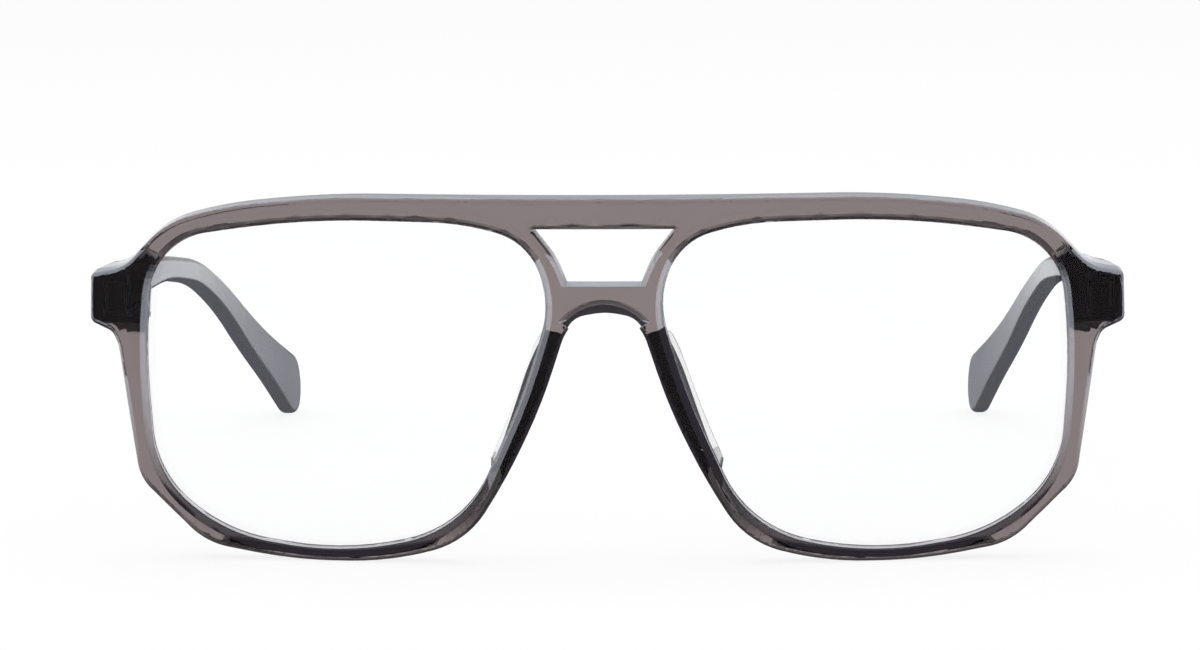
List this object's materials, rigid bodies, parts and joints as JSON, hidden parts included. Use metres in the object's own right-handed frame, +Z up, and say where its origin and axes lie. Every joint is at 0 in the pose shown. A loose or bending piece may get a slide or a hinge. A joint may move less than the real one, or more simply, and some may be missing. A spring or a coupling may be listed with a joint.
{
  "type": "double bridge glasses",
  "caption": "Full-rim acetate spectacles with a navigator outline, a double bridge, fixed nose pads, clear lenses and folding temples.",
  "frame": {"origin": "middle of the bounding box, on the plane that the rims and the temple tips rest on", "axes": "+X to the wearer's left, +Y back along the temples, +Z up"},
  "size_m": [0.1448, 0.1495, 0.052],
  "materials": {
    "front_acetate": "polished translucent warm grey",
    "temple_acetate": "polished translucent cool grey",
    "pad_acetate": "polished, almost clear",
    "demo_lens": "clear, polished",
    "hinge_metal": "nickel silver",
    "screw_steel": "plain steel",
    "core_wire": "nickel silver wire"
  },
  "bodies": {
    "front": {"front_frame": "front_acetate", "lens_left": "demo_lens", "lens_right": "demo_lens", "nose_pad_left": "pad_acetate", "nose_pad_right": "pad_acetate", "hinge_front_left": "hinge_metal", "hinge_front_right": "hinge_metal", "hinge_screw_left": "screw_steel", "hinge_screw_right": "screw_steel"},
    "temple_left": {"temple_left": "temple_acetate", "temple_core_left": "core_wire", "hinge_temple_left": "hinge_metal"},
    "temple_right": {"temple_right": "temple_acetate", "temple_core_right": "core_wire", "hinge_temple_right": "hinge_metal"}
  },
  "joints": [
    {"name": "temple_left_fold", "type": "hinge", "parent": "front", "child": "temple_left", "pos_m": [0.0659, -0.05646, 0.0367], "axis": [0, 0, 1], "range_deg": [0, 86]},
    {"name": "temple_right_fold", "type": "hinge", "parent": "front", "child": "temple_right", "pos_m": [-0.0659, -0.05646, 0.0367], "axis": [0, 0, -1], "range_deg": [0, 81]}
  ]
}
